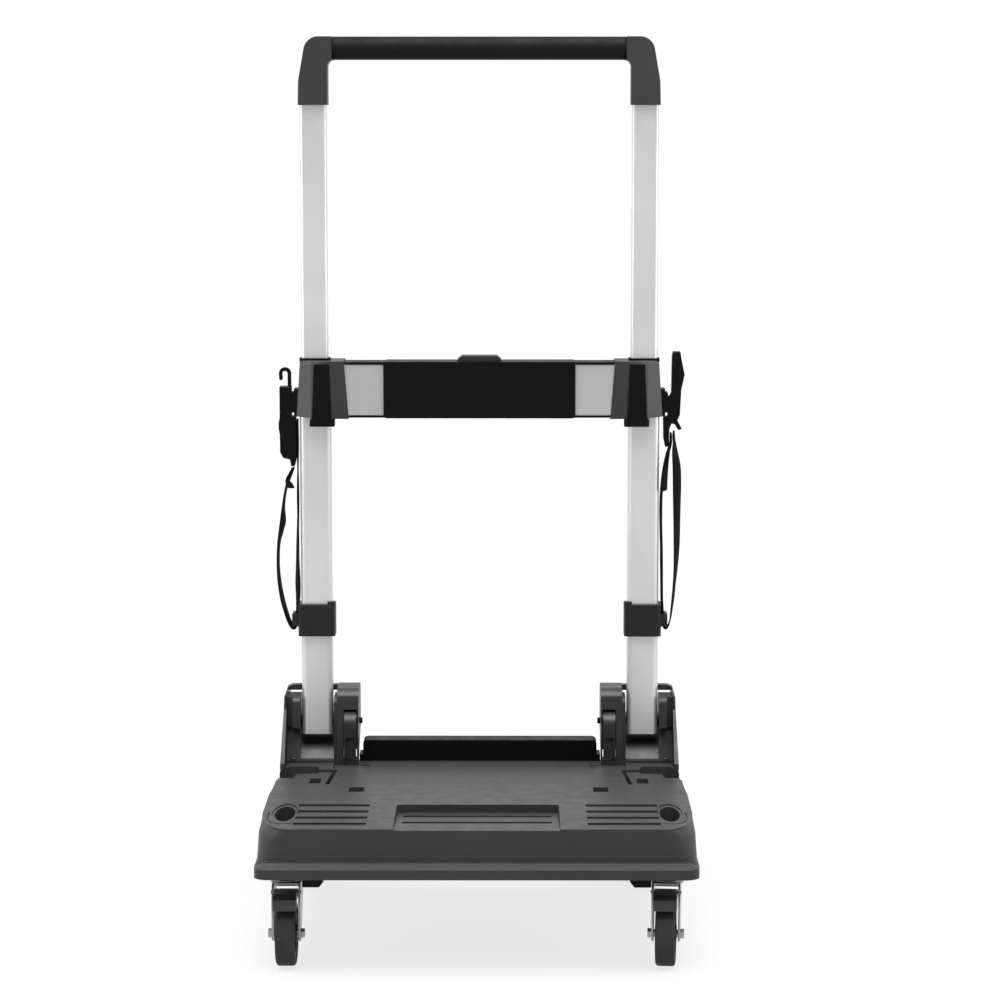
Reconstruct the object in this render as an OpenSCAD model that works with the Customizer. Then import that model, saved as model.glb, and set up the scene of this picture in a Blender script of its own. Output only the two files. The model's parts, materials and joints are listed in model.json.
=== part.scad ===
// Folding platform cart: a moulded deck on two braked casters and two large rear
// wheels, with a telescopic handle frame that folds forward onto the deck.
// X runs to the right, Y to the rear and Z up. The origin is on the floor, under
// the middle of the whole cart.

/* [Overall] */
// Height of the top of the handle above the floor
overall_h = 940; // [925:1:955]
// Width of the deck over its flange
deck_w = 446; // [442:1:450]
// Depth of the deck from its front flange to the rear crossmember
deck_d = 345; // [340:1:350]
// Height of the deck's load surface
floor_h = 150; // [148:1:152]

/* [Handle frame] */
// Distance between the middles of the two tubes
tube_spacing = 358; // [354:1:360]
// Width of the lower tubes
lower_tube_w = 34; // [33:0.5:35]
// Depth of the lower tubes
lower_tube_d = 22; // [21:0.5:23]
// Height of the top face of the crossbar and its collars
crossbar_top = 592; // [580:1:600]
// Height of the crossbar's collars
collar_h = 63; // [60:1:66]
// Height of the fold pivot
pivot_h = 192; // [191:0.5:194]
// Height of the underside of the handle's arms
arm_bottom = 867; // [860:1:870]

/* [Wheels] */
// Diameter of the rear wheels
rear_wheel_d = 178; // [174:1:180]
// Width of the rear wheels
rear_wheel_w = 42; // [38:1:44]
// Distance from the deck's front edge back to the rear axle
axle_back = 405; // [404:1:410]
// Diameter of the caster wheels
caster_wheel_d = 66; // [62:1:68]
// Width of the caster wheels
caster_wheel_w = 20; // [19:1:22]
// Distance between the swivel axes of the two casters
caster_spacing = 387; // [378:1:392]
// How far the right caster is turned inward about its swivel axis
caster_turn = 5; // [0:1:20]

/* [Hidden] */
$fn = 48;
eps = 0.01;
front = -(axle_back + rear_wheel_d / 2) / 2;
tube_x = tube_spacing / 2;
tube_y = front + deck_d;
axle_y = front + axle_back;
axle_h = rear_wheel_d / 2;
axle_r = 7;
pin_r = 5;

// deck
deck_bottom = 101;
flange_top = 111;
flange_slope = 6;
flange_r = 14;
wall_front = 12;
wall_corner = [31, 73];
wall_side = 3.5;
// the wall swells towards its foot: height, how far in from the flange, corner
wall_swell = [[110, 0.8, [20, 26]], [139, 2.2, [25, 42]], [148, 3.6, [31, 73]]];
wall_rear_in = 3.7;
deck_wall = 3;
deck_skin = 4;
panel_drop = 8.5;
seat_depth = 2;
foot_rise = 2.5;
groove_depth = 2.5;
groove_w = 10;
rib_w = 3;
rib_bottom = 106;
band_x = [111.5, 185];
groove_back = [31, 57, 84, 111];
panel_groove_back = [55, 92];
centre_panel_x = 84;
centre_panel_back = 119;
socket_x = 196.5;
socket_back = 83;
socket_r = 10.3;
socket_len = 64;
socket_depth = 24;
foot_x = 164;
foot_h = 9;

// wheel housing
housing_front = front + 318;
housing_x = [133.3, 217.5];
cheek_w = 5;
cheek_lean = 2.5;
cheek_forward = 28;
inner_cheek_x = 157;
leg_x = 145;
housing_top = 230;
arch_r = rear_wheel_d / 2 + 6;
arch_wall = 4;
cradle_top = 221;
cradle_bottom = 187;
slot_clear = 1.5;
bridge_h = 6;
housing_screw_x = 205;
lever_x = 142.3;
lever_w = 13;
lever_pivot = [front + 331, 199];

// caster
caster_y = front + 72;
caster_trail = 22;
caster_axle_h = caster_wheel_d / 2;
caster_plate_h = 3;
plate_w = 46;
plate_top = deck_bottom + 6;
plate_screw = 17;
race_r = 17.8;
fork_top = 86;
pedal_h = 76;
fork_leg_x = [12.4, 14.6];

// rear wheel
wheel_x = 187;
tyre_wall = 24;
bush_r = 11;
hub_len = 48;

// frame
tube_wall = 2;
lower_tube_bottom = pivot_h - 13;
lower_tube_top = crossbar_top - 8;
upper_tube_w = lower_tube_w - 2 * tube_wall - 1;
upper_tube_d = lower_tube_d - 2 * tube_wall - 1;
upper_tube_bottom = 480;
upper_tube_top = 890;
collar_bottom = crossbar_top - collar_h;
collar_w = 55;
collar_outer = 197;
collar_inner = collar_outer - collar_w;
collar_depth = 42;
insert_w = [16.5, 21.5];
collar_taper = [5, 2];
bar_bottom = collar_bottom + 3;
bar_h = 57;
cover_x = 104;
bolt_r = 4;
bolt_h = collar_bottom + 30;
button_w = 52;
button_h = 6;
clamp_bottom = 289;
clamp_h = 35;
clamp_x = [158.5, 199];
strap_w = 15;
strap_t = 1.6;
lug_h = clamp_bottom + 17;

// handle
arm_depth = 27;
arm_inner = 163;
arm_outer = [194.8, 188.5];
grip_r = 12.5;
grip_h = overall_h - grip_r;
grip_x = 158;

// routes of the straps' two runs on each side, from the buckle down to the lug, seen from the front
outer_run_left = [[203.6, 475], [207.5, 464], [212, 452], [215, 436], [217.5, 412], [220.3, 390],
    [221, 366], [219.5, 344], [217, 326], [213.5, 313], [209.5, 302], [205.5, 296.3], [202.3, 297.5],
    [201.5, 303]];
inner_run_left = [[198.6, 527], [198.4, 480], [199.2, 440], [199.2, 400], [199.2, 350], [200.2, 330],
    [201.5, 312], [201.5, 303]];
outer_run_right = [[212, 517], [212.4, 500], [214.4, 480], [216.2, 455], [216.2, 430], [215.5, 405],
    [215.5, 380], [214.5, 355], [213, 335], [211, 318], [209.2, 304], [205.5, 296.3], [202.3, 297.5],
    [201.5, 303]];
inner_run_right = [[209, 519], [208.6, 500], [204, 486], [200.2, 467], [199, 450], [198.6, 400],
    [199, 350], [200.2, 330], [201.5, 312], [201.5, 303]];

black = [0.10, 0.10, 0.10];
dark_grey = [0.20, 0.20, 0.21];
deck_grey = [0.33, 0.33, 0.34];
mid_grey = [0.38, 0.38, 0.39];
silver = [0.78, 0.79, 0.80];
zinc = [0.66, 0.67, 0.68];
webbing_black = [0.14, 0.14, 0.15];

// ---- helpers

// Shapes for the right side (+X) are mirrored for the left.
module on_side(side) {
    if (side < 0) mirror([1, 0, 0]) children();
    else children();
}

// Stands a (Y, Z) outline up and extrudes it along X.
module across(x0, x1) {
    translate([x0, 0, 0]) rotate([90, 0, 90]) linear_extrude(x1 - x0) children();
}

// Stands an (X, Z) outline up and extrudes it along Y.
module deep(y0, y1) {
    translate([0, y1, 0]) rotate([90, 0, 0]) linear_extrude(y1 - y0) children();
}

module box(x, y, z) {
    translate([x[0], y[0], z[0]]) cube([x[1] - x[0], y[1] - y[0], z[1] - z[0]]);
}

module rod(x, y, z, r) {
    translate([x[0], y, z]) rotate([0, 90, 0]) cylinder(h = x[1] - x[0], r = r);
}

module rounded_rect(w, d, r) {
    square([w - 2 * r, d], center = true);
    square([w, d - 2 * r], center = true);
    for (x = [-1, 1], y = [-1, 1]) translate([x * (w / 2 - r), y * (d / 2 - r)]) circle(r);
}

module oval(a, b) {
    polygon([for (i = [0 : 39]) [a * cos(i * 9), b * sin(i * 9)]]);
}

module tube_section(w, d, z0, z1, r) {
    translate([tube_x, tube_y, z0]) linear_extrude(z1 - z0) rounded_rect(w, d, r);
}

function arc(c, r, a0, a1, n) = [
    for (i = [0 : n]) let (a = a0 + (a1 - a0) * i / n) c + r * [cos(a), sin(a)]
];

// Points of a smooth line through the given points.
function smooth(p, n) = [
    for (i = [0 : len(p) - 2], k = [0 : n - 1])
        let (t = k / n, a = p[max(i - 1, 0)], b = p[i], c = p[i + 1], d = p[min(i + 2, len(p) - 1)])
        0.5 * (2 * b + (c - a) * t + (2 * a - 5 * b + 4 * c - d) * t * t
            + (3 * b - 3 * c + d - a) * t * t * t),
    p[len(p) - 1]
];
function unit(v) = v / norm(v);
function normal_at(p, i) =
    let (v = unit(p[min(i + 1, len(p) - 1)] - p[max(i - 1, 0)])) [-v[1], v[0]];
function ribbon(p, t) = concat(
    [for (i = [0 : len(p) - 1]) p[i] + normal_at(p, i) * t / 2],
    [for (i = [len(p) - 1 : -1 : 0]) p[i] - normal_at(p, i) * t / 2]
);

// ---- deck

// Flange round the deck's foot: the right half of its outline, set in by grow.
module flange_outline(set_in) {
    half = deck_w / 2 - set_in;
    edge = front + set_in;
    r = flange_r - set_in;
    rear = deck_w / 2 - wall_side - wall_rear_in;
    polygon([[0, edge], [half - r, edge], [half, edge + r], [half, front + 165], [rear, front + 236],
        [rear, front + deck_d], [0, front + deck_d]]);
    translate([half - r, edge + r]) circle(r);
}

// Right half of the wall's outline, with a long corner that eases into the side.
module wall_outline(corner, set_in, behind = 0) {
    half = deck_w / 2 - set_in;
    rear = deck_w / 2 - wall_side - wall_rear_in - behind;
    c = [half - corner[0], front + wall_front + corner[1] + behind];
    polygon(concat([[0, front + wall_front + behind]],
        [for (i = [0 : 10]) let (t = i * 9) c + [corner[0] * sin(t), -corner[1] * cos(t)]],
        [[half, front + 165], [rear, front + 236], [rear, front + deck_d - behind],
        [0, front + deck_d - behind]]));
}

module deck_block() {
    for (side = [-1, 1]) on_side(side) {
        translate([0, 0, deck_bottom]) linear_extrude(flange_top - deck_bottom) flange_outline(0);
        translate([0, 0, flange_top - eps]) linear_extrude(floor_h - flange_top + eps)
            wall_outline(wall_corner, wall_side);
        for (i = [0, 1]) hull() for (level = [wall_swell[i], wall_swell[i + 1]])
            translate([0, 0, level[0]]) linear_extrude(eps) wall_outline(level[2], level[1], 0.03);
        translate([0, 0, deck_bottom]) linear_extrude(flange_top + flange_slope - deck_bottom)
            flange_outline(wall_front - 2);
    }
    // sloped ledge along the flange's front
    across(flange_r - deck_w / 2, deck_w / 2 - flange_r) polygon([[front, flange_top],
        [front + wall_front, flange_top + flange_slope], [front + wall_front, deck_bottom + 1],
        [front, deck_bottom + 1]]);
    for (side = [-1, 1]) on_side(side) translate([deck_w / 2 - flange_r, front + flange_r, 0])
        rotate([0, 0, -90]) rotate_extrude(angle = 90) polygon([[0, flange_top - 1],
            [flange_r - 1, flange_top - 1], [flange_r, flange_top],
            [flange_r - wall_front, flange_top + flange_slope], [0, flange_top + flange_slope]]);
}

// The space under the deck's skin, with its ribs and solid pads left standing.
module deck_hollow() {
    x_in = deck_w / 2 - wall_side - wall_rear_in - deck_wall;
    difference() {
        box([-x_in, x_in], [front + wall_front + deck_wall, front + deck_d - deck_wall],
            [deck_bottom - eps, floor_h - deck_skin - panel_drop]);
        for (x = [-2 : 2]) box([x * 62 - rib_w / 2, x * 62 + rib_w / 2], [front, front + deck_d],
            [rib_bottom, floor_h]);
        for (y = [118, 198, 262]) box([-x_in, x_in], [front + y, front + y + rib_w], [rib_bottom, floor_h]);
        for (side = [-1, 1]) on_side(side) {
            box([caster_spacing / 2 - 36, x_in], [front, front + socket_back + socket_len / 2 + 8],
                [deck_bottom, floor_h]);
            box([inner_cheek_x - 30, x_in], [front + 226, front + deck_d], [deck_bottom, floor_h]);
        }
    }
}

function panel_height(y) = floor_h - 0.5 - (panel_drop - 0.5) * y / centre_panel_back;

module deck_tray() {
    color(deck_grey) difference() {
        deck_block();
        deck_hollow();
        // panel in the middle of the front band, falling to the rear, with its two grooves
        intersection() {
            deep(front, front + centre_panel_back) polygon([[-centre_panel_x, floor_h + 1],
                [3 - centre_panel_x, floor_h - panel_drop - 3],
                [centre_panel_x - 3, floor_h - panel_drop - 3],
                [centre_panel_x, floor_h + 1]]);
            union() {
                across(-centre_panel_x, centre_panel_x) polygon([[front, floor_h - 0.5],
                    [front + centre_panel_back, floor_h - panel_drop],
                    [front + centre_panel_back, floor_h + 1],
                    [front, floor_h + 1]]);
                for (y = panel_groove_back) across(8 - centre_panel_x, centre_panel_x - 8)
                    polygon([[front + y, floor_h], [front + y, panel_height(y) - 2],
                        [front + y + groove_w, panel_height(y) - 2.5], [front + y + groove_w, floor_h]]);
            }
        }
        // seats of the caster plates
        for (x = [-1, 1]) translate([x * caster_spacing / 2, caster_y, deck_bottom - 1])
            linear_extrude(plate_top - deck_bottom + 1) rounded_rect(plate_w + 0.4, plate_w + 0.4, 4.2);
        for (side = [-1, 1]) on_side(side) {
            for (y = groove_back) box(band_x, [front + y, front + y + groove_w],
                [floor_h - groove_depth, floor_h + 1]);
            deck_side_cuts();
        }
        // stepped strip along the rear crossmember
        box([-133.2, 133.2], [front + 312, front + deck_d + 1], [floor_h - seat_depth, floor_h + 1]);
    }
}

module deck_side_cuts() {
    // oval socket in the corner, its rim and the curved line round it
    translate([socket_x, front + socket_back, 0]) {
        translate([0, 0, floor_h - socket_depth]) linear_extrude(socket_depth + 1)
            oval(socket_r, socket_len / 2);
        translate([0, 0, floor_h - 1.2]) linear_extrude(3) oval(socket_r + 2.8, socket_len / 2 + 8);
    }
    translate([0, 0, floor_h - 1.5]) linear_extrude(3) polygon(ribbon(smooth([[band_x[1] - 2, front + 36],
        [202, front + 37.5], [209, front + 44], [212, front + 54], [212.6, front + 68],
        [212.4, front + 84]], 5), 2));
    // notch in the rear corner, open to the side
    translate([0, 0, floor_h - 28]) linear_extrude(40) polygon([[177, front + 300], [206, front + 300],
        [216, front + 284], [235, front + 278], [235, front + 243], [200, front + 243], [197, front + 262],
        [174, front + 266], [174, front + 282]]);
    // slots and the angled locating groove for a case's feet
    box([169, 181], [front + 217, front + 241], [floor_h - 8, floor_h + 1]);
    box([121, 137], [front + 178, front + 199], [floor_h - 8, floor_h + 1]);
    translate([0, 0, floor_h - 8]) linear_extrude(15)
        polygon([[154, front + 284], [175, front + 284], [175, front + 271], [159, front + 270],
            [164, front + 213], [159, front + 213]]);
    // shallow step in front of the wheel housing, and the housing's seat
    box([120, 160], [front + 290, front + 318], [floor_h - 3, floor_h + 1]);
    box([housing_x[0] - 0.2, deck_w], [housing_front - 0.2, front + deck_d + 1],
        [floor_h - seat_depth, floor_h + 1]);
    box([housing_x[1] - cheek_w - 0.2, deck_w], [housing_front - cheek_forward - 0.2, front + deck_d + 1],
        [floor_h - seat_depth, floor_h + 1]);
    translate([housing_screw_x, housing_front + 6, floor_h - 9]) cylinder(h = 9, r = 2.1);
    // wheel well
    rod([inner_cheek_x + 1, deck_w], axle_y, axle_h, arch_r);
    box([inner_cheek_x + 1, deck_w], [front + 334, front + deck_d + 1], [deck_bottom - 1, floor_h + 1]);
}

module deck_feet() {
    color(black) for (side = [-1, 1], y = [front + 6, front + 250]) on_side(side)
        translate([foot_x - 11, y, 0]) deep(0, 22) polygon([[0, deck_bottom], [0, deck_bottom - 3],
            [4.5, deck_bottom - foot_h], [21.5, deck_bottom - foot_h], [21.5, deck_bottom]]);
}

module rear_crossmember() {
    x = housing_x[0] - 4.3;
    x_foot = housing_x[0] - 0.3;
    y = front + deck_d;
    top = floor_h + 21.5;
    color(black) difference() {
        union() {
            deep(y - 8, y + 16) polygon(concat([[-x, floor_h + 5.5], [-x_foot, floor_h + 5.5],
                [-x_foot, deck_bottom + 4], [x_foot, deck_bottom + 4], [x_foot, floor_h + 5.5],
                [x, floor_h + 5.5]],
                arc([x - 5, top - 5], 5, 0, 90, 5), arc([5 - x, top - 5], 5, 90, 180, 5)));
            // hangers that carry the axle
            for (side = [-1, 1]) on_side(side) across(70, 78) polygon(concat(
                [[y + 4, deck_bottom + 4], [y + 4, floor_h], [y + 16, floor_h]],
                arc([axle_y, axle_h], axle_r + 10, 30, -150, 16)));
        }
        box([-x_foot - 1, x_foot + 1], [y - 9, y], [deck_bottom, floor_h - seat_depth]);
        deep(y + 3, y + 17) polygon([[8 - x, deck_bottom + 10], [-82, deck_bottom + 10], [-82, top - 5],
            [8 - x, top - 5]]);
        deep(y + 3, y + 17) polygon([[82, deck_bottom + 10], [x - 8, deck_bottom + 10], [x - 8, top - 5],
            [82, top - 5]]);
        deep(y + 3, y + 17) polygon([[-66, deck_bottom + 10], [66, deck_bottom + 10], [66, top - 5],
            [-66, top - 5]]);
        rod([-deck_w, deck_w], axle_y, axle_h, axle_r + 0.05);
    }
}

// ---- wheel housings and fold pivots

module cheek_outline(forward) {
    f = housing_front;
    difference() {
        polygon(concat([[f - forward, floor_h - seat_depth], [f - forward, floor_h + 5],
            [f - 0.4 * forward + 3, floor_h + 34],
            [f + 8, housing_top - 22]],
            arc([f + 22, housing_top - 14], 14, 160, 90, 6),
            arc([f + 50, housing_top - 12], 12, 90, 40, 5),
            [[axle_y + 30, arch_r + axle_h + 6], [axle_y + 72, axle_h + 84], [axle_y + 80, axle_h + 56]],
            [[axle_y, axle_h + 60]]));
        translate([axle_y, axle_h]) circle(arch_r, $fn = 96);
    }
}

module wheel_housing(side) {
    f = housing_front;
    tube_rear = tube_y + lower_tube_d / 2;
    slot = [tube_x - lower_tube_w / 2 - slot_clear, tube_x + lower_tube_w / 2 + slot_clear];
    on_side(side) color(dark_grey) difference() {
        union() {
            // outer cheek and the bridge behind the tube, leaning in to a rounded shoulder
            intersection() {
                union() {
                    across(housing_x[1] - cheek_w, housing_x[1]) cheek_outline(cheek_forward);
                    box([inner_cheek_x - 1, housing_x[1] - 1], [tube_rear + 0.4, tube_rear + 10],
                        [housing_top - bridge_h, housing_top]);
                }
                deep(f - cheek_forward - 1, axle_y + 130) polygon(concat([[housing_x[0], -1],
                    [housing_x[1], -1], [housing_x[1], floor_h]],
                    arc([housing_x[1] - cheek_lean - 9, housing_top - 9], 9, 0, 90, 8),
                    [[housing_x[0], housing_top]]));
            }
            across(housing_x[0], leg_x) intersection() {
                cheek_outline(0);
                square([front + deck_d + 34, housing_top + 1]);
            }
            across(leg_x, inner_cheek_x) {
                cheek_outline(0);
                // leg down to the axle, behind the deck
                polygon(concat([[front + deck_d + 16, floor_h], [f + 50, floor_h + 40],
                    [axle_y + 40, floor_h + 30]], arc([axle_y, axle_h], 22, 20, -200, 20)));
            }
            // mudguard over the wheel
            across(inner_cheek_x - 1, housing_x[1] - 3) difference() {
                translate([axle_y, axle_h]) circle(arch_r + arch_wall, $fn = 96);
                translate([axle_y, axle_h]) circle(arch_r, $fn = 96);
                translate([axle_y - 120, -20]) square([240, floor_h - seat_depth + 20]);
            }
            // cradle walls on both sides of the tube
            for (x = [[inner_cheek_x - 1, slot[0]], [slot[1], housing_x[1] - cheek_w + 1]])
                across(x[0], x[1]) polygon(concat([[f + 6, floor_h], [f + 9, cradle_top - 8]],
                    arc([f + 17, cradle_top - 8], 8, 180, 90, 6),
                    arc([f + 42, cradle_top - 8], 8, 90, 0, 6),
                    [[f + 50, floor_h + 34], [f + 14, floor_h + 2]]));
            // foot of the housing on the deck
            box(housing_x, [f, f + 11], [floor_h - seat_depth, floor_h + foot_rise]);
        }
        rod([inner_cheek_x + 0.5, deck_w], axle_y, axle_h, arch_r);
        // dark pocket beside the tube, under the outer cradle wall, and the gap between wall and cheek
        across(slot[1] - 1, housing_x[1] - cheek_w) polygon([[f - 1, floor_h + foot_rise],
            [f + 10, floor_h + foot_rise], [f + 22, cradle_bottom], [f - 1, cradle_bottom]]);
        box([206, housing_x[1] - cheek_w], [f - 1, f + 16], [cradle_bottom - 1, cradle_top + 1]);
        // pocket with the fold latch
        box([lever_x - lever_w / 2 - 0.8, lever_x + lever_w / 2 + 0.8], [f - 1, front + 342],
            [floor_h + 3.5, lever_pivot[1] + 9]);
        rod([housing_x[0] + 1, inner_cheek_x - 1], lever_pivot[0], lever_pivot[1], 2.05);
        rod([housing_x[0] - 1, housing_x[1] - 3], tube_y, pivot_h, pin_r + 0.05);
        rod([housing_x[0] - 1, inner_cheek_x + 1], axle_y, axle_h, axle_r + 0.05);
        translate([housing_screw_x, f + 6, floor_h - 3]) cylinder(h = 14, r = 2.1);
    }
}

module housing_screws() {
    color(dark_grey) for (side = [-1, 1]) on_side(side)
        translate([housing_screw_x, housing_front + 6, 0]) screw(floor_h + foot_rise, 9);
}

// Round-headed screw whose head rests on height top, with its shank below.
module screw(top, length) {
    translate([0, 0, top]) cylinder(h = 2, r = 4);
    translate([0, 0, top - length + eps]) cylinder(h = length, r = 2.05);
}

module pivot_pin(side) {
    on_side(side) color(black) {
        rod([housing_x[0], housing_x[1] - 3], tube_y, pivot_h, pin_r);
        rod([housing_x[0] - 3.5, housing_x[0] + 1], tube_y, pivot_h, pin_r - 1.6);
    }
}

module latch_pins() {
    color(zinc) for (side = [-1, 1]) on_side(side)
        rod([housing_x[0] + 1.2, inner_cheek_x - 1.2], lever_pivot[0], lever_pivot[1], 2);
}

module fold_latch(side) {
    y = lever_pivot[0];
    z = lever_pivot[1];
    on_side(side) color(black) difference() {
        across(lever_x - lever_w / 2, lever_x + lever_w / 2) polygon(concat(
            arc([y, z], 6, 0, 90, 5), arc([y - 6, z - 6], 12, 90, 180, 8), [[y - 17, z - 30],
            [y - 16, z - 44],
                [y - 13, z - 45], [y - 9, z - 30], [y - 5, z - 8]]));
        rod([lever_x - 12, lever_x + 12], y, z, 2.08);
        box([lever_x - 4.5, lever_x + 4.5], [y - 24, y - 14.5], [z - 50, z - 20]);
    }
}

// ---- rear wheels

module rear_axle() {
    color(zinc) rod([-wheel_x - hub_len / 2 - 4, wheel_x + hub_len / 2 + 4], axle_y, axle_h, axle_r);
}

module axle_caps() {
    x = wheel_x + hub_len / 2 + 0.4;
    color(black) for (side = [-1, 1]) on_side(side) difference() {
        union() {
            rod([x, x + 5], axle_y, axle_h, 13);
            rod([x + 4, x + 7], axle_y, axle_h, 10);
        }
        rod([x - 1, x + 3.6], axle_y, axle_h, axle_r);
    }
}

module at_rear_wheel(side) {
    on_side(side) translate([wheel_x, axle_y, axle_h]) rotate([0, 90, 0]) children();
}

module wheel_tyre(side) {
    r = rear_wheel_d / 2;
    w = rear_wheel_w / 2;
    at_rear_wheel(side) color(black) difference() {
        rotate_extrude($fn = 96) difference() {
            polygon(concat([[r - tyre_wall, 4 - w], [r - tyre_wall, w - 4]],
                arc([r - 12, w - 10], 10, 90, 20, 6), [[r, w - 15], [r, 15 - w]],
                arc([r - 12, 10 - w], 10, -20, -90, 6)));
            for (y = [-9, 0, 9]) translate([r, y]) square([3, 1.6], center = true);
        }
    }
}

module wheel_rim(side) {
    r = rear_wheel_d / 2 - tyre_wall;
    w = rear_wheel_w / 2 - 4;
    at_rear_wheel(side) color(mid_grey) difference() {
        union() {
            rotate_extrude($fn = 96) polygon([[r - 6, -w], [r - 0.05, -w], [r - 0.05, w], [r - 6, w]]);
            translate([0, 0, -hub_len / 2]) cylinder(h = hub_len, r = 18);
            translate([0, 0, -5]) cylinder(h = 10, r = r - 3);
            for (i = [0 : 4]) rotate([0, 0, i * 72]) translate([14, -4, -w + 2])
                cube([r - 17, 8, 2 * w - 4]);
        }
        translate([0, 0, -hub_len]) cylinder(h = 2 * hub_len, r = bush_r + 0.02);
        for (i = [0 : 4]) rotate([0, 0, i * 72 + 36]) translate([39, 0, -6]) cylinder(h = 12, r = 10);
    }
}

module wheel_bush(side) {
    at_rear_wheel(side) color(dark_grey) difference() {
        translate([0, 0, -hub_len / 2]) cylinder(h = hub_len, r = bush_r);
        translate([0, 0, -hub_len]) cylinder(h = 2 * hub_len, r = axle_r + 0.06);
    }
}

// ---- casters

// Places a caster's pieces, drawn about its swivel axis with the wheel towards the front.
module at_caster(side) {
    translate([side * caster_spacing / 2, caster_y, 0]) rotate([0, 0, side > 0 ? -caster_turn : 0])
        children();
}

module caster_plate(side) {
    z = fork_top + 0.3;
    under = plate_top - caster_plate_h;
    translate([side * caster_spacing / 2, caster_y, 0]) color(zinc) difference() {
        union() {
            translate([0, 0, under]) linear_extrude(caster_plate_h) rounded_rect(plate_w, plate_w, 4);
            // ball race with a groove round it
            rotate_extrude() polygon([[0, z], [race_r - 1, z], [race_r, z + 0.8], [race_r, z + 2.4],
                [race_r - 2.2, z + 3], [race_r - 2.2, z + 4.2], [race_r + 0.6, z + 4.8],
                [race_r + 0.6, z + 6.4], [race_r - 1.5, z + 7.4], [race_r - 1.5, under + 1],
                [0, under + 1]]);
            translate([0, 0, fork_top - 6]) cylinder(h = 8, r = 4.95);
            translate([0, 0, fork_top - 8]) cylinder(h = 3, r = 8);
        }
        for (x = [-1, 1], y = [-1, 1]) translate([x * plate_screw, y * plate_screw, under - 10])
            cylinder(h = 20, r = 2.05);
    }
}

module caster_screws() {
    under = plate_top - caster_plate_h;
    color(zinc) for (side = [-1, 1], x = [-1, 1], y = [-1, 1])
        translate([side * caster_spacing / 2 + x * plate_screw, caster_y + y * plate_screw, 0]) {
            translate([0, 0, under]) cylinder(h = caster_plate_h - 0.02, r = 2);
            translate([0, 0, under - 2]) cylinder(h = 2, r = 3.5);
        }
}

module caster_fork(side) {
    at_caster(side) color(zinc) difference() {
        union() {
            translate([0, 0, fork_top - 4]) cylinder(h = 4, r = race_r);
            translate([0, -6, fork_top - 4]) linear_extrude(3)
                square([2 * fork_leg_x[1], 34], center = true);
            for (s = [-1, 1]) on_side(s) across(fork_leg_x[0], fork_leg_x[1]) polygon(concat(
                [[14, fork_top - 1], [12, fork_top - 20]],
                arc([-caster_trail, caster_axle_h], 8, -10, -190, 14),
                [[-32, fork_top - 20], [-24, fork_top - 1]]));
        }
        translate([0, 0, fork_top - 10]) cylinder(h = 20, r = 5.02);
        rod([-30, 30], -caster_trail, caster_axle_h, 4.03);
        rod([-30, 30], -caster_trail - 2, pedal_h, 2.05);
    }
}

module caster_axle(side) {
    at_caster(side) color(zinc) {
        rod([-fork_leg_x[1] - 1, fork_leg_x[1] + 1], -caster_trail, caster_axle_h, 4);
        for (s = [-1, 1]) on_side(s)
            rod([fork_leg_x[1] + 0.05, fork_leg_x[1] + 4], -caster_trail, caster_axle_h, 5, $fn = 6);
        rod([-fork_leg_x[1] - 1, fork_leg_x[1] + 1], -caster_trail - 2, pedal_h, 2);
    }
}

module at_caster_wheel(side) {
    at_caster(side) translate([0, -caster_trail, caster_axle_h]) rotate([0, 90, 0]) children();
}

module caster_tyre(side) {
    r = caster_wheel_d / 2;
    w = caster_wheel_w / 2;
    at_caster_wheel(side) color(black) rotate_extrude($fn = 72)
        polygon([[r - 9, -w], [r - 2.5, -w], [r - 0.8, 0.8 - w], [r, 3 - w], [r, w - 3], [r - 0.8, w - 0.8],
            [r - 2.5, w], [r - 9, w]]);
}

module caster_core(side) {
    r = caster_wheel_d / 2 - 9.02;
    w = caster_wheel_w / 2;
    at_caster_wheel(side) color(mid_grey) difference() {
        union() {
            rotate_extrude($fn = 72) polygon([[r - 4, 1 - w], [r, 1 - w], [r, w - 1], [r - 4, w - 1]]);
            translate([0, 0, -4]) cylinder(h = 8, r = r - 2);
            translate([0, 0, -w - 1]) cylinder(h = 2 * w + 2, r = 9);
        }
        translate([0, 0, -w - 2]) cylinder(h = 2 * w + 4, r = 4.06);
    }
}

module brake_pedal(side) {
    y = -caster_trail - 2;
    z = pedal_h;
    at_caster(side) color(black) difference() {
        across(-11.8, 11.8) polygon([[y + 4, z + 3], [y - 4, z + 4], [y - 22, z + 3], [y - 28, z - 1],
            [y - 29, z - 12], [y - 25, z - 13], [y - 23.5, z - 5], [y - 19, z - 12], [y - 14, z - 12],
            [y - 12, z - 5], [y + 4, z - 5]]);
        rod([-20, 20], y, z, 2.08);
    }
}

// ---- lower frame

module lower_tube(side) {
    on_side(side) color(silver) difference() {
        tube_section(lower_tube_w, lower_tube_d, lower_tube_bottom, lower_tube_top, 6);
        tube_section(lower_tube_w - 2 * tube_wall, lower_tube_d - 2 * tube_wall, lower_tube_bottom - 1,
            lower_tube_top + 1, 4);
        rod([tube_x - 30, tube_x + 30], tube_y, pivot_h, pin_r + 0.05);
        rod([tube_x - 30, tube_x], tube_y, bolt_h, bolt_r + 0.1);
    }
}

module tube_foot(side) {
    on_side(side) color(black) difference() {
        tube_section(lower_tube_w - 2 * tube_wall - 0.1, lower_tube_d - 2 * tube_wall - 0.1,
            lower_tube_bottom, lower_tube_bottom + 28, 3.9);
        rod([tube_x - 30, tube_x + 30], tube_y, pivot_h, pin_r + 0.05);
    }
}

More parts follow.
